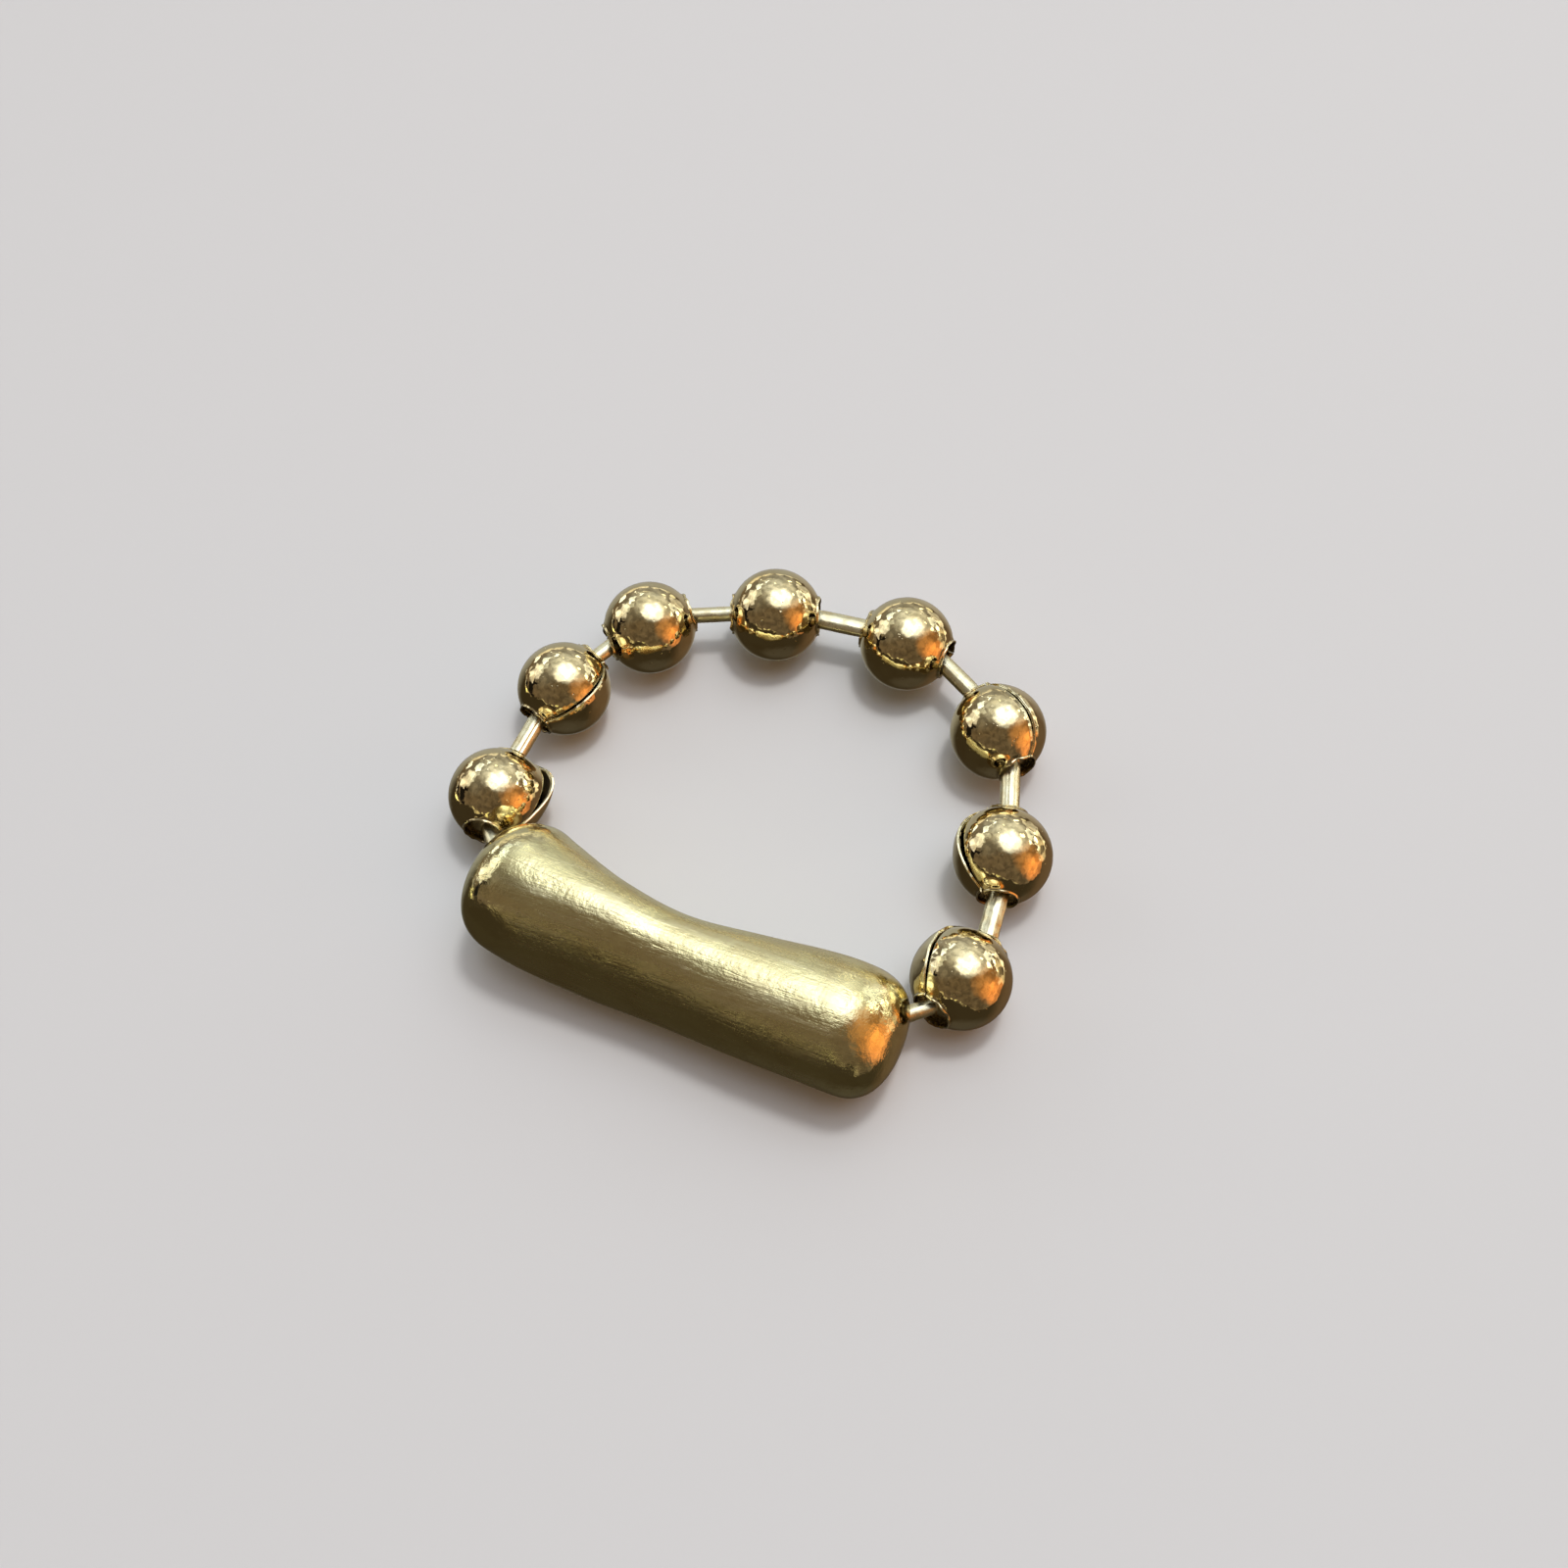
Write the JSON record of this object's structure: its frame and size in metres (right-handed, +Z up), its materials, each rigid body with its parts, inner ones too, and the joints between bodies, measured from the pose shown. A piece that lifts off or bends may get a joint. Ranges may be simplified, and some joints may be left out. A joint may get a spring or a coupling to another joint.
{
  "type": "ball chain ring",
  "caption": "Finger ring made of a short length of ball chain closed by a smooth bean-shaped metal bar.",
  "frame": {"origin": "under the middle of the ring's bounding box, on the surface that the ring lies on", "axes": "+X along the bar, from its thicker end to its thinner end; +Y from the bar towards the chain, in the plane of the ring; +Z up, along the finger hollow"},
  "size_m": [0.0277, 0.0246, 0.0065],
  "materials": {
    "bar": "gold-tone brass, satin-brushed lengthwise, with polished ends and fine scratches",
    "balls": "gold-tone brass sheet, polished, with a slight haze, a seam and small pits",
    "pins": "gold-tone brass wire, bright, lightly flattened in places"
  },
  "bodies": {
    "root": {"bar": "bar", "ball_1": "balls", "ball_2": "balls", "ball_3": "balls", "ball_4": "balls", "ball_5": "balls", "ball_6": "balls", "ball_7": "balls", "ball_8": "balls", "pin_1": "pins", "pin_2": "pins", "pin_3": "pins", "pin_4": "pins", "pin_5": "pins", "pin_6": "pins", "pin_7": "pins", "pin_8": "pins", "pin_9": "pins"}
  },
  "joints": []
}
